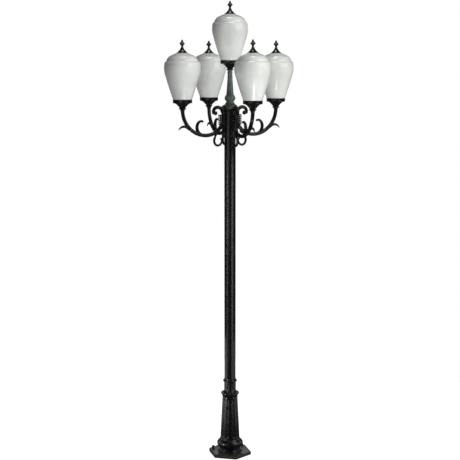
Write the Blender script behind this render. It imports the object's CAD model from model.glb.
# %% [markdown]
# # A five-globe street lamp
# The post is a hexagonal foot, a fluted column, a long fluted pole, a hub with four scrolled arms and a
# stem, and five acorn globes.  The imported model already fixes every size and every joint.  This lesson
# gives each casting its turned, fluted and scrolled surface and each surface its real finish.

# %% Load the frame
import math

import bmesh
import bpy
from mathutils import Matrix, Vector


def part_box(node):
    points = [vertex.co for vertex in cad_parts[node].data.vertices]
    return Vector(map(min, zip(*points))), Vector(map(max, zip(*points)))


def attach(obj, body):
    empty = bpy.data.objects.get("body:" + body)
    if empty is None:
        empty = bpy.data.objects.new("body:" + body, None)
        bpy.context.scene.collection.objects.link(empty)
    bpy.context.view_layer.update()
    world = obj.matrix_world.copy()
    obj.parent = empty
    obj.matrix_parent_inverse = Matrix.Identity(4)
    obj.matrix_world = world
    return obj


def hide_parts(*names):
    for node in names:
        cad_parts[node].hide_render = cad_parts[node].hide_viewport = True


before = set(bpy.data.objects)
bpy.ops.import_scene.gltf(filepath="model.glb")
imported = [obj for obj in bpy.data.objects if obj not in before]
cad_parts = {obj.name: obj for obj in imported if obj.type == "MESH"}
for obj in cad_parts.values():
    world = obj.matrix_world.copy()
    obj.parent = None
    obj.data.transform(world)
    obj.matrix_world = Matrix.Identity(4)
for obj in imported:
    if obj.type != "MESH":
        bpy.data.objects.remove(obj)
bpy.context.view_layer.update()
MM = 0.001
POST = "post"
SIDES = {"right": 0, "back": 90, "left": 180, "front": 270}
LAMPS = ["centre"] + list(SIDES)

# %% [markdown]
# ## Where things are
# Every height below is read from a node's box, so a longer pole or a wider arm carries its details along.

# %% Read places from the frame


def low(node):
    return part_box(node)[0].z


def high(node):
    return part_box(node)[1].z


def middle(node):
    """The centre of a node's box, at its lowest level."""
    a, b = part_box(node)
    return Vector(((a.x + b.x) / 2, (a.y + b.y) / 2, a.z))


CUP_FOOT = {name: middle("cup_" + name) for name in LAMPS}
ARM_REACH = CUP_FOOT["right"].x
ARM_TOP = low("cup_right")
HUB_LOW, HUB_TOP = low("hub_body"), high("hub_body")
PLATE_TOP = high("base_plate")
print("arm reach", round(ARM_REACH, 4), "hub", round(HUB_LOW, 4), round(HUB_TOP, 4))

# %% [markdown]
# ## Colour and node helpers
# Colours are written as the sRGB hex values that a paint card would give, and one function turns them
# to the linear values that a shader needs.  One more function adds a node with its settings and links.

# %% Helpers for colour and nodes


def linear(code, alpha=1.0):
    values = [int(code[i:i + 2], 16) / 255 for i in (1, 3, 5)]
    return tuple(v / 12.92 if v <= 0.04045 else ((v + 0.055) / 1.055) ** 2.4 for v in values) + (alpha,)


def add(tree, kind, links=None, **settings):
    """Add a node; links maps a socket's name or number to a value or to another node's output."""
    node = tree.nodes.new(kind)
    for name, value in settings.items():
        setattr(node, name, value)
    for name, value in (links or {}).items():
        if isinstance(value, bpy.types.NodeSocket):
            tree.links.new(value, node.inputs[name])
        else:
            node.inputs[name].default_value = value
    return node


def new_material(name):
    material = bpy.data.materials.new(name)
    material.use_nodes = True
    tree = material.node_tree
    tree.nodes.clear()
    output = add(tree, "ShaderNodeOutputMaterial")
    shader = add(tree, "ShaderNodeBsdfPrincipled")
    tree.links.new(shader.outputs["BSDF"], output.inputs["Surface"])
    return material, tree, shader


def blotch(tree, size_mm, detail=3.0, roughness=0.55):
    """Noise on Object coordinates whose patches are about size_mm across."""
    place = add(tree, "ShaderNodeTexCoord").outputs["Object"]
    links = {"Vector": place, "Scale": 1.0 / (size_mm * MM), "Detail": detail, "Roughness": roughness}
    return add(tree, "ShaderNodeTexNoise", links).outputs["Fac"]


def between(tree, factor, lowest, highest):
    """The factor's middle stretch mapped to lowest..highest."""
    links = {"Value": factor, "From Min": 0.3, "From Max": 0.7, "To Min": lowest, "To Max": highest}
    return add(tree, "ShaderNodeMapRange", links).outputs["Result"]


def tint(tree, factor, first, second):
    ramp = add(tree, "ShaderNodeValToRGB", {"Fac": factor})
    for element, place, code in zip(ramp.color_ramp.elements, (0.35, 0.68), (first, second)):
        element.position = place
        element.color = linear(code)
    return ramp.outputs["Color"]


def bumped(tree, shader, height, depth_mm, strength=1.0):
    links = {"Height": height, "Distance": depth_mm * MM, "Strength": strength}
    tree.links.new(add(tree, "ShaderNodeBump", links).outputs["Normal"], shader.inputs["Normal"])


print("mid grey #808080 is", round(linear("#808080")[0], 3), "of full light")

# %% [markdown]
# ## Powder coat on cast and extruded aluminium
# Castings for street lamps are shot-blasted, dipped and powder coated.  Baked powder flows into a glossy
# film with a faint orange peel about 2 mm from crest to crest, thinner and a little browner on raised
# edges, and it dulls where dust and rain dry on it.  A rough black base under a clear coat gives both the
# soft body of the film and its sharp highlights.  One function makes every coat, because the castings
# share their process and differ only in tone and gloss.

# %% Powder coat materials
# Sizes in mm: dust dries in hand-sized patches, wear breaks up finer, and the peel is only microns deep.
DUST_MM, WEAR_MM, PEEL_DEPTH_MM = 46.0, 7.0, 0.005


def powder_coat(name, dark, dusty, edge, rough, peel_mm=2.2, coat=0.45):
    material, tree, shader = new_material(name)
    dust = blotch(tree, DUST_MM, 5.0, 0.62)
    body = tint(tree, dust, dark, dusty)
    # Raised edges keep a thinner film: Pointiness is high there.
    point = add(tree, "ShaderNodeNewGeometry").outputs["Pointiness"]
    edges = {"Value": point, "From Min": 0.515, "From Max": 0.60}
    worn = add(tree, "ShaderNodeMapRange", edges).outputs["Result"]
    patches = between(tree, blotch(tree, WEAR_MM), 0.15, 0.8)
    broken = add(tree, "ShaderNodeMath", {0: worn, 1: patches}, operation="MULTIPLY").outputs["Value"]
    mixed = add(tree, "ShaderNodeMix", {"Factor": broken, "A": body, "B": linear(edge)}, data_type="RGBA")
    tree.links.new(mixed.outputs["Result"], shader.inputs["Base Color"])
    tree.links.new(between(tree, dust, *rough), shader.inputs["Roughness"])
    shader.inputs["Coat Weight"].default_value = coat
    shader.inputs["Coat Roughness"].default_value = 0.08
    shader.inputs["IOR"].default_value = 1.5
    bumped(tree, shader, blotch(tree, peel_mm, 1.0), PEEL_DEPTH_MM, 0.6)
    return material


# Cast aluminium under a glossy black coat: deep black with soft, slightly uneven highlights.
BLACK_CAST = powder_coat("powder_coated_cast_aluminium", "#040404", "#0a0a09", "#1a1915", (0.2, 0.34))
# An extruded tube is smoother than a casting, so its highlights are narrower.
BLACK_TUBE = powder_coat("powder_coated_extruded_aluminium", "#050504", "#0a0a09", "#151411",
                         (0.16, 0.28), 2.6)
# The stem's coat is rubbed with an olive tone, which reads as a dull grey-green.
OLIVE_CAST = powder_coat("rubbed_olive_powder_coat", "#37413e", "#596561", "#82897e",
                         (0.28, 0.44), 2.0, 0.35)
# The hub's ring is rubbed browner than the stem.
RING_CAST = powder_coat("rubbed_bronze_powder_coat", "#2c2c26", "#4a4b41", "#76746a",
                        (0.26, 0.42), 2.0, 0.4)
# The foot plate lies flat, so dust greys it.
PLATE_COAT = powder_coat("powder_coated_floor_plate", "#0d0d0c", "#20201e", "#383731",
                         (0.22, 0.42), 2.4)
print("coats", [m.name for m in bpy.data.materials])

# %% [markdown]
# ## Opal acrylic, porcelain, frosted glass, zinc and moulded plastic
# Opal acrylic is a milky, light-scattering plastic with a polished skin, so it has subsurface light and a
# clear gloss.  Lamp holders are glazed porcelain, bulbs are acid-frosted glass, and the fixings are zinc
# plated steel with a crystalline spangle.

# %% Other materials


def opal_acrylic():
    material, tree, shader = new_material("opal_acrylic")
    haze = blotch(tree, 90.0, 3.0)
    tree.links.new(tint(tree, haze, "#dfe1dd", "#e9ebe7"), shader.inputs["Base Color"])
    tree.links.new(between(tree, blotch(tree, 30.0, 4.0), 0.09, 0.16), shader.inputs["Roughness"])
    shader.inputs["Subsurface Weight"].default_value = 0.25
    shader.inputs["Subsurface Radius"].default_value = (0.012, 0.012, 0.011)
    shader.inputs["IOR"].default_value = 1.49
    shader.inputs["Coat Weight"].default_value = 0.3
    shader.inputs["Coat Roughness"].default_value = 0.05
    # A vacuum-formed skin is never quite flat: a very shallow 40 mm ripple.
    bumped(tree, shader, blotch(tree, 40.0, 0.0), 0.25, 0.35)
    return material


def glazed_porcelain():
    material, tree, shader = new_material("glazed_porcelain")
    tree.links.new(tint(tree, blotch(tree, 9.0, 4.0), "#d9d2c3", "#ece8dd"), shader.inputs["Base Color"])
    tree.links.new(between(tree, blotch(tree, 14.0), 0.08, 0.2), shader.inputs["Roughness"])
    shader.inputs["Coat Weight"].default_value = 0.8
    bumped(tree, shader, blotch(tree, 3.0), 0.05, 0.5)
    return material


def frosted_glass():
    material, tree, shader = new_material("acid_frosted_glass")
    tree.links.new(tint(tree, blotch(tree, 20.0), "#ececea", "#f7f7f4"), shader.inputs["Base Color"])
    tree.links.new(between(tree, blotch(tree, 5.0), 0.35, 0.5), shader.inputs["Roughness"])
    shader.inputs["Subsurface Weight"].default_value = 0.3
    shader.inputs["Subsurface Radius"].default_value = (0.006, 0.006, 0.006)
    bumped(tree, shader, blotch(tree, 0.9), 0.02, 0.4)
    return material


def plated_metal(name, first, second, spangle_mm=1.8):
    material, tree, shader = new_material(name)
    place = add(tree, "ShaderNodeTexCoord").outputs["Object"]
    grain = add(tree, "ShaderNodeTexVoronoi", {"Vector": place, "Scale": 1.0 / (spangle_mm * MM)})
    tree.links.new(tint(tree, grain.outputs["Color"], first, second), shader.inputs["Base Color"])
    tree.links.new(between(tree, blotch(tree, 4.0), 0.28, 0.5), shader.inputs["Roughness"])
    shader.inputs["Metallic"].default_value = 1.0
    bumped(tree, shader, grain.outputs["Distance"], 0.03, 0.4)
    return material


def moulded_plastic():
    """Black polyethylene: matt, faintly grained by its mould."""
    material, tree, shader = new_material("moulded_polyethylene")
    tree.links.new(tint(tree, blotch(tree, 12.0), "#131313", "#262625"), shader.inputs["Base Color"])
    tree.links.new(between(tree, blotch(tree, 6.0), 0.38, 0.55), shader.inputs["Roughness"])
    bumped(tree, shader, blotch(tree, 0.8), 0.05, 0.5)
    return material


OPAL = opal_acrylic()
PORCELAIN = glazed_porcelain()
FROSTED = frosted_glass()
ZINC = plated_metal("zinc_plated_steel", "#8f9193", "#b9bbbc")
BRASS = plated_metal("plain_brass", "#a8873f", "#c9a65a", 3.0)
POLYTHENE = moulded_plastic()
print("materials", [m.name for m in bpy.data.materials])

# %% [markdown]
# ## Turned shapes
# Columns, cups, globes and finials are shapes of revolution.  A profile is written as a maker's template:
# radius and height in millimetres, with straight runs and arcs through three points.  Sharp corners get a
# small radius, because a casting or a spinning never has a knife edge and the radius catches the light.

# %% Profile and lathe helpers


def arc_points(start, mid, end, count):
    """Points after start, along the arc through three points, in the plane."""
    ax, ay = start
    bx, by = mid
    cx, cy = end
    d = 2 * (ax * (by - cy) + bx * (cy - ay) + cx * (ay - by))
    if abs(d) < 1e-9:
        return [end]
    ux = ((ax**2 + ay**2) * (by - cy) + (bx**2 + by**2) * (cy - ay) + (cx**2 + cy**2) * (ay - by)) / d
    uy = ((ax**2 + ay**2) * (cx - bx) + (bx**2 + by**2) * (ax - cx) + (cx**2 + cy**2) * (bx - ax)) / d
    radius = math.hypot(ax - ux, ay - uy)
    first, halfway, last = (math.atan2(y - uy, x - ux) for x, y in (start, mid, end))
    sweep = (last - first) % math.tau
    if (halfway - first) % math.tau > sweep:
        sweep -= math.tau
    angles = [first + sweep * (i + 1) / count for i in range(count)]
    return [(ux + radius * math.cos(a), uy + radius * math.sin(a)) for a in angles]


def template(*steps, arcs=14):
    """(radius, height) ends a straight run; (mid radius, mid height, radius, height) ends an arc."""
    points = [(steps[0][0], steps[0][1], True)]
    for step in steps[1:]:
        if len(step) == 2:
            points.append((step[0], step[1], True))
            continue
        run = arc_points(points[-1][:2], step[:2], step[2:], arcs)
        points += [(x, y, False) for x, y in run[:-1]] + [(step[2], step[3], True)]
    return points


def softened(points, radius):
    """Round each marked corner that turns by more than 25 degrees."""
    result = []
    count = len(points)
    for index, (x, y, corner) in enumerate(points):
        before, after = points[index - 1], points[(index + 1) % count]
        first = Vector((before[0] - x, before[1] - y))
        second = Vector((after[0] - x, after[1] - y))
        ends = index in (0, count - 1) and x < 1e-6
        level = min(first.length, second.length) < 1e-6 or first.angle(second) > math.radians(155)
        if not corner or ends or level:
            result.append((x, y))
            continue
        near = min(radius, first.length * 0.45)
        far = min(radius, second.length * 0.45)
        start = Vector((x, y)) + first.normalized() * near
        end = Vector((x, y)) + second.normalized() * far
        for share in (0.0, 0.35, 0.65, 1.0):
            spot = start * (1 - share)**2 + Vector((x, y)) * 2 * share * (1 - share) + end * share**2
            result.append((spot.x, spot.y))
    return result


def mesh_object(name, verts, faces, material):
    mesh = bpy.data.meshes.new(name)
    mesh.from_pydata(verts, [], faces)
    return finished(name, mesh, material)


def finished(name, mesh, material, angle=38.0):
    """Weld, turn faces outwards, shade smooth up to an angle, and link."""
    work = bmesh.new()
    work.from_mesh(mesh)
    bmesh.ops.remove_doubles(work, verts=work.verts, dist=1e-6)
    bmesh.ops.dissolve_degenerate(work, edges=work.edges, dist=1e-7)
    bmesh.ops.recalc_face_normals(work, faces=work.faces)
    work.to_mesh(mesh)
    work.free()
    mesh.polygons.foreach_set("use_smooth", [True] * len(mesh.polygons))
    mesh.set_sharp_from_angle(angle=math.radians(angle))
    mesh.materials.clear()
    mesh.materials.append(material)
    piece = bpy.data.objects.new(name, mesh)
    bpy.context.scene.collection.objects.link(piece)
    return piece


def lathe(name, steps, material, foot=(0, 0, 0), turns=96, corner=1.0, arcs=14):
    """A closed solid of revolution.  The steps run round the section, in mm, from the foot's level."""
    points = softened(template(*steps, arcs=arcs), corner)
    verts, faces = [], []
    for radius, height in points:
        for step in range(turns):
            angle = math.tau * step / turns
            spot = Vector((radius * math.cos(angle), radius * math.sin(angle), height)) * MM
            verts.append(spot + Vector(foot))
    for row in range(len(points)):
        above = (row + 1) % len(points)
        for step in range(turns):
            right = (step + 1) % turns
            corners = ((row, step), (row, right), (above, right), (above, step))
            faces.append([ring * turns + place for ring, place in corners])
    return mesh_object(name, verts, faces, material)


def stand_in(piece, node, body=POST):
    """The piece rides on its body, stands for the node it details and takes that node's slot."""
    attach(piece, body)
    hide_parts(node)


print("a quarter round in 8 steps ends at", arc_points((1, 0), (0.7071, 0.7071), (0, 1), 8)[-1])

# %% [markdown]
# ## Fluting by rule
# Flutes are the same hollow repeated round the shaft, deepest in the middle, with a flat land between
# neighbours and a spoon-shaped end.  A rule says that in a few nodes: the angle round the axis gives the
# place across a flute, the height gives the place along it, and each point moves in by the hollow's depth.

# %% The fluting tree


def open_tree(name, sizes, path=False):
    """Start a tree with named sizes and their defaults, and with a path object where it follows one."""
    tree = bpy.data.node_groups.new(name, "GeometryNodeTree")
    tree.interface.new_socket(name="Geometry", in_out="OUTPUT", socket_type="NodeSocketGeometry")
    kinds = [("Geometry", "Geometry")] + [("Path", "Object")] * path + [(size, "Float") for size in sizes]
    for label, kind in kinds + [("Material", "Material")]:
        made = tree.interface.new_socket(name=label, in_out="INPUT", socket_type="NodeSocket" + kind)
        if label in sizes:
            made.default_value = sizes[label]
    return tree, add(tree, "NodeGroupInput").outputs


def close_tree(tree, geometry, material):
    """End a tree with plain geometry in one material, because the export drops instances."""
    real = add(tree, "GeometryNodeRealizeInstances", {"Geometry": geometry}).outputs[0]
    coated = add(tree, "GeometryNodeSetMaterial", {"Geometry": real, "Material": material}).outputs[0]
    add(tree, "NodeGroupOutput", {0: coated})


def maths(tree, operation, first, second=None, third=None):
    links = {index: value for index, value in enumerate((first, second, third)) if value is not None}
    return add(tree, "ShaderNodeMath", links, operation=operation).outputs[0]


def fluting_tree():
    sizes = {"Count": 16.0, "Depth": 0.002, "Share": 0.8, "Low": 0.0, "High": 1.0, "End length": 0.01}
    tree, given = open_tree("Fluting", sizes)
    place = add(tree, "GeometryNodeInputPosition").outputs[0]
    spot = add(tree, "ShaderNodeSeparateXYZ", {0: place}).outputs
    # Across a flute: -1 at one land, 0 in the hollow's middle, 1 at the next land.
    turn = maths(tree, "ARCTAN2", spot["Y"], spot["X"])
    around = maths(tree, "MULTIPLY", turn, maths(tree, "DIVIDE", given["Count"], math.tau))
    across = maths(tree, "SUBTRACT", maths(tree, "FRACT", maths(tree, "ADD", around, 0.5)), 0.5)
    side = maths(tree, "DIVIDE", maths(tree, "MULTIPLY", across, 2.0), given["Share"])
    # Along a flute: 0 over its length, rising to 1 over each spoon-shaped end.
    below = maths(tree, "SUBTRACT", maths(tree, "ADD", given["Low"], given["End length"]), spot["Z"])
    above = maths(tree, "SUBTRACT", spot["Z"], maths(tree, "SUBTRACT", given["High"], given["End length"]))
    past = maths(tree, "MAXIMUM", maths(tree, "MAXIMUM", below, above), 0.0)
    along = maths(tree, "DIVIDE", past, given["End length"])
    squares = maths(tree, "ADD", maths(tree, "MULTIPLY", side, side), maths(tree, "MULTIPLY", along, along))
    left = maths(tree, "MAXIMUM", maths(tree, "SUBTRACT", 1.0, squares), 0.0)
    hollow = maths(tree, "MULTIPLY", maths(tree, "SQRT", left), given["Depth"])
    depth = maths(tree, "MULTIPLY", hollow, -1.0)
    flat = add(tree, "ShaderNodeCombineXYZ", {"X": spot["X"], "Y": spot["Y"]}).outputs[0]
    outward = add(tree, "ShaderNodeVectorMath", {0: flat}, operation="NORMALIZE").outputs[0]
    inward = add(tree, "ShaderNodeVectorMath", {0: outward, "Scale": depth}, operation="SCALE").outputs[0]
    move = {"Geometry": given["Geometry"], "Offset": inward}
    close_tree(tree, add(tree, "GeometryNodeSetPosition", move).outputs[0], given["Material"])
    return tree


def apply_tree(piece, tree, **values):
    """Run a node tree on a piece once and keep the plain mesh that it makes.  Sizes are in metres."""
    modifier = piece.modifiers.new(tree.name, "NODES")
    modifier.node_group = tree
    for item in tree.interface.items_tree:
        if item.item_type == "SOCKET" and item.in_out == "INPUT" and item.name.replace(" ", "_") in values:
            modifier[item.identifier] = values[item.name.replace(" ", "_")]
    keep_result(piece)
    return piece


def keep_result(piece, angle=38.0):
    bpy.context.view_layer.update()
    graph = bpy.context.evaluated_depsgraph_get()
    graph.update()
    made = bpy.data.meshes.new_from_object(piece.evaluated_get(graph))
    piece.modifiers.clear()
    piece.data = made
    made.name = piece.name
    made.polygons.foreach_set("use_smooth", [True] * len(made.polygons))
    made.set_sharp_from_angle(angle=math.radians(angle))


FLUTING = fluting_tree()
FLUTES = 16
print("fluting inputs", [item.name for item in FLUTING.interface.items_tree])

# %% [markdown]
# ## The column
# The column is one hollow casting: a foot ring, a waist, a fat torus, a tapered shaft with 16 flutes, and
# a drip ring.  It is turned from a template, fluted by rule, and cut for the hand hole behind the door.

# %% Column


def rows_between(start, end, count):
    """Extra template rows on a straight run, so that the fluting has points to move."""
    return [(start[0] + (end[0] - start[0]) * i / count, start[1] + (end[1] - start[1]) * i / count)
            for i in range(1, count + 1)]


def rounded_block(name, size, centre, material, bevel=1.2):
    """A block with small rounded edges, sizes and centre in mm."""
    work = bmesh.new()
    bmesh.ops.create_cube(work, size=1.0)
    bmesh.ops.scale(work, vec=Vector(size) * MM, verts=work.verts)
    bmesh.ops.bevel(work, geom=work.edges, offset=bevel * MM, segments=3, profile=0.5, affect="EDGES")
    bmesh.ops.translate(work, vec=Vector(centre) * MM, verts=work.verts)
    mesh = bpy.data.meshes.new(name)
    work.to_mesh(mesh)
    work.free()
    return finished(name, mesh, material)


def column():
    shaft_low, shaft_top = (67.6, 92.3), (53.0, 383.3)
    foot = [(60, 0), (82, 0), (86.2, 6.6, 82.5, 13.0), (73.2, 13.3), (71.8, 14.2, 72.2, 16.5), (72.4, 25.5)]
    torus = [(76.5, 28.3), (90.6, 55.0, 79.5, 75.5), (74.6, 79.6), (73.2, 81.4), (69.2, 84.6, 67.6, 92.3)]
    drip_ring = [(54.2, 398.0, 61.0, 408.0), (63.5, 411.0), (64.0, 414.5, 63.4, 418.0), (60.5, 420.6),
                 (52.5, 422.6, 47.5, 427.3)]
    inside = [(38.4, 427.3), (38.4, 387.3), (46, 387.3), (60, 12)]
    steps = foot + torus + rows_between(shaft_low, shaft_top, 96) + drip_ring + inside
    return lathe("column", steps, BLACK_CAST, (0, 0, PLATE_TOP), turns=FLUTES * 14, corner=0.9)


COLUMN = column()
apply_tree(COLUMN, FLUTING, Count=float(FLUTES), Depth=2.6 * MM, Share=0.84, Low=PLATE_TOP + 98 * MM,
           High=PLATE_TOP + 379 * MM, End_length=9 * MM, Material=BLACK_CAST)


def cut_with(piece, cutter):
    modifier = piece.modifiers.new("cut", "BOOLEAN")
    modifier.operation = "DIFFERENCE"
    modifier.solver = "EXACT"
    modifier.object = cutter
    keep_result(piece)
    bpy.data.objects.remove(cutter)


DOOR_LOW, DOOR_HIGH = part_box("access_door")
DOOR_MIDDLE = (DOOR_LOW.z + DOOR_HIGH.z) / 2 / MM
# The hand hole's width and height, in mm.
HOLE = (42.0, 96.0)
cut_with(COLUMN, rounded_block("hole_cutter", (HOLE[0], 60, HOLE[1]), (0, 60, DOOR_MIDDLE), BLACK_CAST))
stand_in(COLUMN, "base_column")
print("column faces", len(COLUMN.data.polygons))

# %% [markdown]
# ## The wiring door's frame
# A flat door can't close on a round shaft, so the casting carries a raised flat frame with two knuckles.
# Four rounded bars and two barrels make it.

# %% Door frame


def joined(name, pieces, material):
    """One piece from several overlapping solids."""
    mesh = bpy.data.meshes.new(name)
    work = bmesh.new()
    for piece in pieces:
        work.from_mesh(piece.data)
        bpy.data.objects.remove(piece)
    work.to_mesh(mesh)
    work.free()
    return finished_joined(name, mesh, material)


def finished_joined(name, mesh, material):
    """Link a mesh whose parts already face outwards."""
    mesh.polygons.foreach_set("use_smooth", [True] * len(mesh.polygons))
    mesh.set_sharp_from_angle(angle=math.radians(38))
    mesh.materials.clear()
    mesh.materials.append(material)
    piece = bpy.data.objects.new(name, mesh)
    bpy.context.scene.collection.objects.link(piece)
    return piece


# In mm: the frame's width and height, how far its faces stand from the axis, and its knuckles.
FRAME_SIZE = (64.0, 124.0)
FRAME_FACE, FRAME_BACK = 72.0, 51.0
KNUCKLE_LEVEL, KNUCKLE_TALL, KNUCKLE_RADIUS, PIN_BORE = 49.5, 15.0, 5.0, 2.35


def door_frame():
    width, height = FRAME_SIZE
    depth, reach = FRAME_FACE - FRAME_BACK, (FRAME_FACE + FRAME_BACK) / 2
    side, edge = (width - HOLE[0]) / 2, (height - HOLE[1]) / 2
    pin = middle("door_hinge_pin") / MM
    half = KNUCKLE_TALL / 2
    section = [(PIN_BORE, -half), (KNUCKLE_RADIUS, -half), (KNUCKLE_RADIUS, half), (PIN_BORE, half)]
    bars = []
    for sign in (-1, 1):
        upright = (sign * (width - side) / 2, reach, DOOR_MIDDLE)
        cross = (0, reach, DOOR_MIDDLE + sign * (height - edge) / 2)
        level = DOOR_MIDDLE + sign * KNUCKLE_LEVEL
        bars.append(rounded_block("bar", (side, depth, height), upright, BLACK_CAST))
        bars.append(rounded_block("bar", (width - 2, depth, edge), cross, BLACK_CAST))
        bars.append(rounded_block("lug", (9, 10, KNUCKLE_TALL), (pin.x, 72.5, level), BLACK_CAST, 0.8))
        foot = Vector((pin.x, pin.y, level)) * MM
        bars.append(lathe("barrel", section, BLACK_CAST, foot, turns=32, corner=0.8))
    return joined("door_frame", bars, BLACK_CAST)


DOOR_FRAME = door_frame()
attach(DOOR_FRAME, POST)
print("door frame faces", len(DOOR_FRAME.data.polygons))

# %% [markdown]
# ## The collar
# The collar covers the joint of column and pole: a short fluted neck and a rounded clamp ring.  It could be
# a plain cylinder with a ring on it, but one template keeps the hollow between the two smooth.

# %% Collar
COLLAR_LOW = low("pole_collar")


def collar():
    steps = [(38.4, 0), (47.5, 0), (46.8, 2.0), (42.6, 5.5, 41.3, 11.0)]
    steps += rows_between((41.3, 11.0), (41.3, 68.0), 40)
    steps += [(43.0, 69.0), (46.5, 70.0), (48.6, 76.0, 46.5, 82.0), (44.0, 83.4), (41.9, 84.6), (40.2, 94.0),
              (38.4, 94.0)]
    return lathe("collar", steps, BLACK_CAST, (0, 0, COLLAR_LOW), turns=FLUTES * 14, corner=0.7)


COLLAR = collar()
apply_tree(COLLAR, FLUTING, Count=float(FLUTES), Depth=1.7 * MM, Share=0.84, Low=COLLAR_LOW + 12.5 * MM,
           High=COLLAR_LOW + 66.5 * MM, End_length=7 * MM, Material=BLACK_CAST)
stand_in(COLLAR, "pole_collar")
print("collar faces", len(COLLAR.data.polygons))

# %% [markdown]
# ## The pole
# The pole is an extruded tube whose 16 shallow flutes run its whole length, as they come from the die.  It
# needs many points round it but few along it, and its flutes have no ends, so the tree's limits lie far
# outside its length.

# %% Pole
POLE_RADIUS, POLE_BORE = 39.1, 34.1


def pole():
    length = (high("pole_tube") - low("pole_tube")) / MM
    wall = rows_between((POLE_RADIUS, 0), (POLE_RADIUS, length), 24)
    steps = [(POLE_BORE, 0), (POLE_RADIUS, 0)] + wall + [(POLE_BORE, length)]
    return lathe("pole", steps, BLACK_TUBE, (0, 0, low("pole_tube")), turns=FLUTES * 14, corner=0.4)


POLE = pole()
apply_tree(POLE, FLUTING, Count=float(FLUTES), Depth=0.7 * MM, Share=0.8, Low=0.0, High=10.0,
           End_length=1 * MM, Material=BLACK_TUBE)
stand_in(POLE, "pole_tube")
print("pole from", round(low("pole_tube"), 4), "to", round(high("pole_tube"), 4))

# %% [markdown]
# ## The hub
# The hub is a smooth hollow drum with a moulding at each end and four flat pads for the brackets.  The
# drum is round, so it comes from a template, and the pads are blocks that sink into it.

# %% Hub


def hub():
    outside = [(42.5, 0), (45.6, 3.4, 44.0, 7.5), (44.0, 180.0), (45.8, 184.0, 44.0, 188.0), (44.0, 196.0)]
    steps = [(38.4, 0)] + outside + [(36, 196), (36, 66), (25, 66), (25, 60), (38.4, 60)]
    parts = [lathe("drum", steps, BLACK_CAST, (0, 0, HUB_LOW), turns=128)]
    for turn in SIDES.values():
        pad = rounded_block("pad", (6, 26, 188), (44.0, 0, HUB_LOW / MM + 98), BLACK_CAST, 1.0)
        pad.data.transform(Matrix.Rotation(math.radians(turn), 4, "Z"))
        parts.append(pad)
    return joined("hub", parts, BLACK_CAST)


stand_in(hub(), "hub_body")
print("hub pads", len(SIDES))

# %% [markdown]
# ## The ring and the stem
# A moulded ring closes the hub and a turned stem with a ball carries the centre lamp.  Both are round about
# the pole's axis, so a template each is enough.

# %% Ring and stem


def top_ring():
    steps = [(9, -8), (35.7, -8), (35.7, 0), (45.5, 0), (47.4, 1.6), (49.6, 7.0, 48.4, 13.0), (47.2, 13.8),
             (49.6, 19.0, 46.6, 25.4), (43.5, 26.2), (36.6, 31.0, 30.0, 42.0), (26.0, 45.0), (9, 45)]
    return lathe("top_ring", steps, RING_CAST, (0, 0, HUB_TOP), turns=128, corner=0.8)


stand_in(top_ring(), "hub_top_ring")


def stem():
    foot = [(9, 0), (26, 0), (26.0, 3.0), (24.0, 5.0, 26.6, 7.2), (29.0, 8.2)]
    knob = [(36.5, 29.0, 25.8, 48.6), (25.2, 49.4), (25.0, 51.5), (26.2, 54.5, 25.0, 57.5), (24.2, 60.0)]
    shaft = [(20.6, 108.0, 17.2, 160.0), (16.4, 196.0), (18.8, 199.5, 16.8, 203.0), (16.4, 205.0),
             (17.0, 214.0)]
    inside = [(6, 214), (6, 201), (4.5, 201), (4.5, 30), (9, 30)]
    steps = foot + knob + shaft + inside
    return lathe("stem", steps, OLIVE_CAST, (0, 0, low("top_stem")), turns=96, corner=0.8)


stand_in(stem(), "top_stem")
print("stem from", round(low("top_stem"), 4), "to", round(high("top_stem"), 4))

# %% [markdown]
# ## The cups
# The five lamps are alike.  A bell-shaped cast cup holds its globe by three small screws in an upright band.
# The cup is hollow, because it is seen from above when its globe is lifted off.

# %% Cup
CUP_TALL = 66.0


def cup(name):
    foot = [(6, 0), (15.0, 0), (17.5, 1.2), (23.4, 2.2), (25.4, 5.6, 23.8, 9.0), (19.6, 10.6)]
    bell = [(18.9, 12.4), (27.0, 20.6, 38.0, 33.0), (44.0, 36.6, 47.6, 40.4), (49.5, 41.6), (60.0, 42.4)]
    band = [(63.6, 43.4), (65.0, 45.6), (65.0, 47.8), (64.0, 48.8), (64.0, 60.6), (65.0, 61.6),
            (65.2, 64.0, 64.2, CUP_TALL)]
    inside = [(61.5, CUP_TALL), (61.5, 47.5), (44, 45.5), (21.5, 20), (21.5, 14), (6, 14)]
    steps = foot + bell + band + inside
    return lathe("cup_shell_" + name, steps, BLACK_CAST, CUP_FOOT[name], turns=96, corner=0.7)


print("cup feet", {name: tuple(round(v, 3) for v in spot) for name, spot in CUP_FOOT.items()})

# %% [markdown]
# ## The globes
# An acorn globe is blown or vacuum-formed opal acrylic: a neck inside the cup, a long flare, a shoulder with
# a small step and a low dome.  It has a real 3 mm wall, so that light scatters in it as it would in the real
# one and the open neck looks right from below.

# %% Globe


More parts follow.
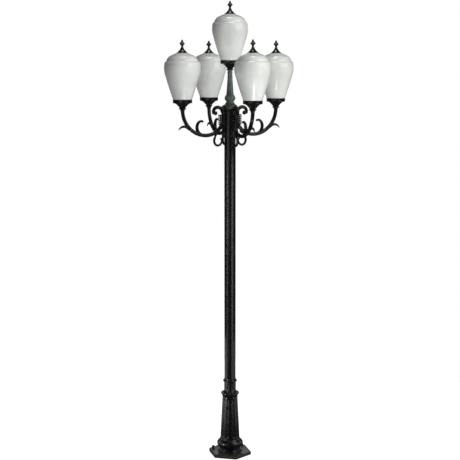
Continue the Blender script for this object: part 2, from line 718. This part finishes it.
def globe(name):
    rim = CUP_FOOT[name] + Vector((0, 0, CUP_TALL * MM))
    flare = [(55, -14), (58, -14), (58, 0.4), (62.5, 0.4), (92.8, 90.0, 118.4, 176.0),
             (121.0, 210.0, 118.6, 233.0)]
    shoulder = [(115.6, 244.6, 109.6, 250.4), (106.6, 251.6), (105.6, 253.2), (103.8, 260.5, 98.0, 270.0)]
    dome = [(87.0, 282.5, 70.0, 291.5), (54.0, 299.0, 36.0, 306.0), (5, 306)]
    inner_dome = [(5, 303), (35.0, 303.0), (53.0, 296.0, 68.5, 288.8), (84.5, 280.5, 95.6, 268.6)]
    inner_wall = [(101.0, 260.0, 102.8, 253.0), (104.0, 249.4), (112.8, 243.0, 115.6, 232.4),
                  (118.0, 210.0, 115.4, 177.0), (89.8, 91.0, 60.0, 4.0), (55.0, 3.4)]
    steps = flare + shoulder + dome + inner_dome + inner_wall
    return lathe("globe_shell_" + name, steps, OPAL, rim, turns=128, corner=1.2, arcs=20)


print("globe rim is", CUP_TALL, "mm over its cup's foot")

# %% [markdown]
# ## The finials
# A spun cap closes each globe and a small turned spire stands on it.  The spire's beads and necks are only
# a few millimetres, so its template has the most steps for its size.

# %% Finial and the five lamps


def finial(name):
    top = middle("finial_" + name)
    foot = Vector((top.x, top.y, low("finial_" + name) + 10 * MM))
    cap = [(0, -10), (4, -10), (4, 0), (36.5, 0), (36.9, 1.4, 35.8, 2.8), (31.0, 4.4), (28.6, 7.4, 24.5, 12.2)]
    neck = [(16.4, 21.0, 11.4, 29.0), (8.4, 36.6, 6.8, 44.0), (7.4, 46.4), (9.2, 48.0), (9.0, 49.8)]
    bead = [(12.6, 54.0, 17.0, 58.0), (18.0, 60.4, 17.0, 63.0), (11.8, 68.0, 8.4, 73.6), (7.6, 76.4)]
    tip = [(6.2, 80.0, 4.4, 83.8), (2.4, 86.2, 0, 87)]
    return lathe("finial_cap_" + name, cap + neck + bead + tip, BLACK_CAST, foot, turns=72, corner=0.5, arcs=10)


for lamp in LAMPS:
    stand_in(cup(lamp), "cup_" + lamp)
    stand_in(globe(lamp), "globe_" + lamp, body="lamp_top_" + lamp)
    stand_in(finial(lamp), "finial_" + lamp, body="lamp_top_" + lamp)
print("lamps", LAMPS)

# %% [markdown]
# ## Reeded rods by node tree
# Arms and scrolls are cast rods with shallow reeds that run along them.  The tree takes a drawn path,
# sweeps a reeded ring along it, and lets the path's own radius taper the rod.

# %% The reeded rod tree


def rod_tree():
    tree, given = open_tree("Reeded rod", {"Reeds": 8.0, "Reed depth": 0.1}, path=True)
    path = add(tree, "GeometryNodeObjectInfo", {"Object": given["Path"]}).outputs["Geometry"]
    unit = {"Resolution": 72, "Radius": 1.0}
    circle = add(tree, "GeometryNodeCurvePrimitiveCircle", unit).outputs["Curve"]
    # A rectified sine gives round reeds with sharp valleys between them.
    around = add(tree, "GeometryNodeSplineParameter").outputs["Factor"]
    swing = maths(tree, "MULTIPLY", maths(tree, "MULTIPLY", around, given["Reeds"]), math.pi)
    wave = maths(tree, "POWER", maths(tree, "ABSOLUTE", maths(tree, "SINE", swing)), 0.6)
    inward = maths(tree, "MULTIPLY", maths(tree, "SUBTRACT", 1.0, wave), given["Reed depth"])
    size = maths(tree, "SUBTRACT", 1.0, inward)
    spot = add(tree, "GeometryNodeInputPosition").outputs[0]
    scaled = add(tree, "ShaderNodeVectorMath", {0: spot, "Scale": size}, operation="SCALE").outputs[0]
    ring = add(tree, "GeometryNodeSetPosition", {"Geometry": circle, "Position": scaled}).outputs[0]
    # The unit ring is scaled by the path's own radius, which tapers the rod.
    thick = add(tree, "GeometryNodeInputRadius").outputs["Radius"]
    sweep = {"Curve": path, "Profile Curve": ring, "Scale": thick, "Fill Caps": True}
    swept = add(tree, "GeometryNodeCurveToMesh", sweep).outputs[0]
    close_tree(tree, swept, given["Material"])
    return tree


ROD = rod_tree()
print("rod inputs", [item.name for item in ROD.interface.items_tree])

# %% [markdown]
# A path is drawn as points with a radius each.  Spirals, ovals and tapers are enough for every arm, leaf
# and scroll, and all of them are drawn in the upright plane over the +X arm and turned to the other sides.

# %% Paths, rods and balls


def path_object(points):
    """A poly path in the upright plane over the +X arm: (distance out, height, radius) in mm."""
    curve = bpy.data.curves.new("path", "CURVE")
    curve.dimensions = "3D"
    spline = curve.splines.new("POLY")
    spline.points.add(len(points) - 1)
    for target, (out, height, radius) in zip(spline.points, points):
        target.co = (out * MM, 0, height * MM, 1)
        target.radius = radius * MM
    made = bpy.data.objects.new("path", curve)
    bpy.context.scene.collection.objects.link(made)
    return made


def rod(points, reeds, depth):
    """A reeded rod along a path in mm; depth is the reeds' share of the rod's radius."""
    path = path_object(points)
    host = bpy.data.objects.new("rod", bpy.data.meshes.new("rod"))
    bpy.context.scene.collection.objects.link(host)
    apply_tree(host, ROD, Path=path, Reeds=reeds, Reed_depth=depth, Material=BLACK_CAST)
    bpy.data.objects.remove(path)
    work = bmesh.new()
    work.from_mesh(host.data)
    bmesh.ops.recalc_face_normals(work, faces=work.faces)
    work.to_mesh(host.data)
    work.free()
    return host


def ball(out, height, radius, wide=1.0, tall=1.0):
    """A turned ball over the arm's line, in mm, with its width and height as shares of its radius."""
    work = bmesh.new()
    bmesh.ops.create_uvsphere(work, u_segments=32, v_segments=20, radius=radius * MM)
    bmesh.ops.scale(work, vec=(1, wide, tall), verts=work.verts)
    bmesh.ops.translate(work, vec=Vector((out, 0, height)) * MM, verts=work.verts)
    mesh = bpy.data.meshes.new("ball")
    work.to_mesh(mesh)
    work.free()
    return finished("ball", mesh, BLACK_CAST)


def turn_points(middle_out, middle_height, radii, angles, count):
    """A spiral: the radius and the angle (degrees from outward, up positive) change evenly."""
    result = []
    for i in range(count + 1):
        share = i / count
        radius = radii[0] + (radii[1] - radii[0]) * share
        angle = math.radians(angles[0] + (angles[1] - angles[0]) * share)
        result.append((middle_out + radius * math.cos(angle), middle_height + radius * math.sin(angle)))
    return result


def oval_points(middle_out, middle_height, radii, angles, count):
    """Part of an oval, between two angles in degrees from outward, up positive."""
    result = []
    for i in range(count + 1):
        angle = math.radians(angles[0] + (angles[1] - angles[0]) * i / count)
        result.append((middle_out + radii[0] * math.cos(angle), middle_height + radii[1] * math.sin(angle)))
    return result


def tapered(points, radii):
    """Give each point a radius that changes evenly through the listed radii."""
    spans = len(radii) - 1
    result = []
    for i, (out, height) in enumerate(points):
        share = i / (len(points) - 1) * spans
        index = min(int(share), spans - 1)
        radius = radii[index] + (radii[index + 1] - radii[index]) * (share - index)
        result.append((out, height, radius))
    return result


print("a half turn of a scroll", len(turn_points(0, 0, (30, 20), (0, 180), 12)), "points")

# %% [markdown]
# ## The arms
# Each arm drops from the hub, sweeps through a quarter circle of 172 mm and rises to its cup.  A curled
# leaf grows from its inner side and a small pointed leaf from its outer side.

# %% Arms
SWEEP = 172.0
ROOT_SWEEP = 131.6
REACH = ARM_REACH / MM
ARM_BOTTOM_OUT = REACH - SWEEP
ARM_LOW = ARM_TOP / MM - 4.0 - SWEEP


def arm_points():
    root = math.degrees(math.asin((ARM_BOTTOM_OUT - 57.0) / ROOT_SWEEP))
    points = turn_points(ARM_BOTTOM_OUT, ARM_LOW + ROOT_SWEEP, (ROOT_SWEEP, ROOT_SWEEP), (-90 - root, -90), 24)
    points += turn_points(ARM_BOTTOM_OUT, ARM_LOW + SWEEP, (SWEEP, SWEEP), (-90, 0), 44)[1:]
    return points + [(REACH, ARM_TOP / MM)]


def arm():
    parts = [rod(tapered(arm_points(), (13.6, 13.2, 13.0, 12.6, 12.6)), reeds=8.0, depth=0.16)]
    # The inner leaf leaves the arm, climbs and curls back towards the pole.
    leaf = oval_points(212, ARM_LOW + 55, (32, 42), (-88, 104), 26)
    parts.append(rod(tapered(leaf, (6.5, 10.4, 11.8, 11.2, 10.0, 8.6, 6.8)), reeds=6.0, depth=0.16))
    parts.append(ball(leaf[-1][0] - 1, leaf[-1][1] - 1, 7.8, wide=1.1))
    # The outer leaf arches over the arm's outer side and ends in a point.
    tip = oval_points(338, ARM_LOW + 22, (42, 41), (152, 22), 22)
    parts.append(rod(tapered(tip, (7.0, 9.6, 9.6, 8.4, 7.0, 5.0, 1.6)), reeds=6.0, depth=0.14))
    # A turned ring where the arm meets its cup, and one at its foot on the bracket.
    top = ARM_TOP / MM
    parts.append(lathe("ring", [(0, -10), (14.8, -10), (16.2, -6.5, 14.8, -3), (15.4, -1.6), (15.4, 0), (0, 0)],
                       BLACK_CAST, (ARM_REACH, 0, top * MM), turns=48, corner=0.6))
    parts.append(rounded_block("root", (10, 26, 44), (62, 0, ARM_LOW + 64), BLACK_CAST, 1.6))
    return joined("arm", parts, BLACK_CAST)


def four_ways(piece, label, node):
    """One copy for each side, turned about the pole in its own mesh."""
    for side, turn in SIDES.items():
        mesh = piece.data.copy()
        mesh.transform(Matrix.Rotation(math.radians(turn), 4, "Z"))
        copy = bpy.data.objects.new(f"{label}_{side}", mesh)
        bpy.context.scene.collection.objects.link(copy)
        stand_in(copy, f"{node}_{side}")
    bpy.data.objects.remove(piece)


four_ways(arm(), "scrolled_arm", "arm")
print("arm reaches", REACH, "mm and its sweep is", SWEEP, "mm")

# %% [markdown]
# ## The brackets
# A bracket is a strip on the hub's pad with a beaded spine, a heavy scroll that rolls over at its top and
# a lighter one that rolls under at its foot.

# %% Brackets


def bracket():
    base = ARM_LOW
    parts = [rounded_block("strip", (10, 22, 188), (52, 0, base + 77), BLACK_CAST, 1.4)]
    upper = [(55, base + 146)] + oval_points(92, base + 157, (32, 30), (186, -28), 30)
    parts.append(rod(tapered(upper, (9.0, 11.0, 12.0, 12.0, 11.8, 11.0, 9.0)), reeds=6.0, depth=0.16))
    parts.append(ball(108, base + 148, 14.0, wide=1.05))
    for step in range(6):
        level = base + 73 + 12.0 * step
        parts.append(ball(68, level, 13.0, wide=1.3, tall=0.46))
        parts.append(ball(82, level, 5.4))
    lower = [(74, base + 22), (86, base + 16), (98, base + 8), (108, base - 3)]
    lower += oval_points(90, base - 37, (28, 33), (38, -196), 36)
    parts.append(rod(tapered(lower, (6.0, 8.6, 8.4, 8.0, 7.6, 7.0, 5.6)), reeds=6.0, depth=0.14))
    parts.append(ball(lower[-1][0] + 3, lower[-1][1] + 1, 7.6, wide=1.05))
    return joined("bracket", parts, BLACK_CAST)


four_ways(bracket(), "scroll", "bracket")
print("brackets and arms on the sides", list(SIDES))

# %% [markdown]
# ## Finish for the carried-over parts
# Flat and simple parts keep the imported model's own shape and only need their finish.

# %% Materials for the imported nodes
FINISH = {"base_plate": PLATE_COAT, "access_door": BLACK_CAST, "anchor_caps": POLYTHENE, "ground_lug": BRASS}
for prefix, material in (("holder_", PORCELAIN), ("bulb_", FROSTED)):
    for lamp in LAMPS:
        FINISH[prefix + lamp] = material
for node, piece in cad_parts.items():
    piece.data.materials.clear()
    piece.data.materials.append(FINISH.get(node, ZINC))
print(len(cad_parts), "packed nodes have a finish,", len(FINISH), "of them their own")

# %% [markdown]
# ## Floor and surround
# The floor and the surround are pale.  The surround is white only to the camera and lights the lamp weakly,
# because a bright one would wash out the black coat.

# %% Floor and surround
# In mm: the floor lies just under the plate, so that the two faces don't coincide.
FLOOR_DROP = 0.5


def floor():
    work = bmesh.new()
    bmesh.ops.create_circle(work, cap_ends=True, segments=96, radius=2.6)
    bmesh.ops.translate(work, vec=(0, 0, -FLOOR_DROP * MM), verts=work.verts)
    mesh = bpy.data.meshes.new("floor")
    work.to_mesh(mesh)
    work.free()
    material, tree, shader = new_material("pale_floor")
    tree.links.new(tint(tree, blotch(tree, 400.0), "#f4f4f3", "#f8f8f7"), shader.inputs["Base Color"])
    shader.inputs["Roughness"].default_value = 0.7
    shader.inputs["Emission Color"].default_value = (1, 1, 1, 1)
    shader.inputs["Emission Strength"].default_value = 0.75
    mesh.materials.append(material)
    piece = bpy.data.objects.new("floor", mesh)
    bpy.context.scene.collection.objects.link(piece)
    # The floor lights the lamp softly, and the black coat doesn't mirror it.
    piece.visible_glossy = False


def surround():
    world = bpy.data.worlds.new("white_surround")
    world.use_nodes = True
    tree = world.node_tree
    tree.nodes.clear()
    seen = add(tree, "ShaderNodeBackground", {"Color": (1, 1, 1, 1), "Strength": 1.0})
    lit = add(tree, "ShaderNodeBackground", {"Color": linear("#f2f3f5"), "Strength": 0.05})
    direct = add(tree, "ShaderNodeLightPath").outputs["Is Camera Ray"]
    both = add(tree, "ShaderNodeMixShader", {0: direct, 1: lit.outputs[0], 2: seen.outputs[0]})
    add(tree, "ShaderNodeOutputWorld", {"Surface": both.outputs[0]})
    bpy.context.scene.world = world


floor()
surround()
print("floor and surround are set")

# %% [markdown]
# ## Camera
# A long lens from a little above the arms keeps the pole upright and the five globes nearly the same size.

# %% Camera
# The azimuth and pitch are in degrees, the lens in mm and the distance from the pole in metres.
AZIMUTH, EYE, PITCH, LENS = 25.15, Vector((0, 0, 2.762)), 8.41, 91.36
DISTANCE = 7.927


def camera_frame(right, away, up):
    """A place given as seen from the camera: to its right, away behind the pole, and up."""
    turn = math.radians(-AZIMUTH)
    across = Vector((math.cos(turn), math.sin(turn), 0))
    depth = Vector((-math.sin(turn), math.cos(turn), 0))
    return across * right + depth * away + Vector((0, 0, up))


def camera():
    data = bpy.data.cameras.new("camera")
    data.lens, data.sensor_width = LENS, 36.0
    data.clip_end = 100.0
    made = bpy.data.objects.new("camera", data)
    made.location = camera_frame(0, -DISTANCE, EYE.z)
    look = camera_frame(0, 0, EYE.z - DISTANCE * math.tan(math.radians(PITCH)))
    made.rotation_euler = (look - made.location).to_track_quat("-Z", "Y").to_euler()
    bpy.context.scene.collection.objects.link(made)
    bpy.context.scene.camera = made


camera()
print("camera is", DISTANCE, "m from the pole")

# %% [markdown]
# ## Lights
# Gloss on black shows where the lights are, so each one has a single job.  Two large washes cast no shadow
# and are not mirrored: they only make the opal globes glow, and a third does so from behind.  A strip on
# each side draws a thin line down the pole.  Its cone is narrow, so the globes don't mirror it.  Two small
# spots put a highlight low on the globes, and low panels catch the column's edges.

# %% Lights


def area_light(name, spot, aim, size, glow, mirrored=True, spread=180.0):
    """A soft panel: glow is its brightness seen straight on, and spread is its cone in degrees."""
    data = bpy.data.lights.new(name, "AREA")
    data.shape = "RECTANGLE"
    data.size, data.size_y = size
    half = math.radians(spread) / 2
    data.spread = 2 * half
    # A narrow cone packs the same power into fewer directions, so the power is lowered to keep the glow.
    data.energy = glow * math.pi * size[0] * size[1] * (1 - half / math.tan(half))
    lamp = bpy.data.objects.new(name, data)
    lamp.location = spot
    lamp.rotation_euler = (Vector(aim) - Vector(spot)).to_track_quat("-Z", "Y").to_euler()
    lamp.visible_camera = False
    lamp.visible_glossy = mirrored
    data.use_shadow = mirrored
    bpy.context.scene.collection.objects.link(lamp)


TOP_AIM = Vector((0, 0, 2.7))
area_light("key", camera_frame(3.4, -2.0, 4.6), TOP_AIM, (3.6, 3.6), 2.0)
area_light("wash", camera_frame(3.4, -3.8, 3.2), TOP_AIM, (3.0, 3.0), 4.2, mirrored=False)
area_light("fill", camera_frame(-1.5, -6.0, 2.6), TOP_AIM, (3.0, 3.0), 1.5, mirrored=False)
area_light("top", (0, 0, 6.0), TOP_AIM, (1.2, 1.2), 6.0)
area_light("low_spot", camera_frame(0.48, -1.94, 0.98), (0, 0, 2.5), (0.18, 0.18), 50.0, spread=50.0)
area_light("high_spot", camera_frame(0.48, -1.94, 1.26), (0, 0, 3.05), (0.18, 0.18), 90.0, spread=20.0)
area_light("left_strip", camera_frame(-1.36, -0.84, 1.0), (0, 0, 1.0), (0.2, 1.9), 26.0, spread=44.0)
area_light("left_panel", camera_frame(-1.9, -3.2, 2.1), (0, 0, 2.1), (1.5, 2.4), 0.6)
area_light("right_strip", camera_frame(1.28, -0.96, 1.0), (0, 0, 1.0), (0.12, 1.9), 7.0, spread=44.0)
area_light("left_low", camera_frame(-0.8, 0.1, 0.32), (0, 0, 0.32), (1.1, 0.6), 0.6)
area_light("right_low", camera_frame(0.8, 0.1, 0.32), (0, 0, 0.32), (1.1, 0.6), 0.4)
area_light("rear_wash", camera_frame(1.5, 5.5, 3.4), TOP_AIM, (3.0, 3.0), 1.8, mirrored=False)
area_light("back", camera_frame(0, 5.0, 2.6), (0, 0, 0), (5.0, 1.6), 0.8)
bpy.context.scene.view_settings.view_transform = "Standard"
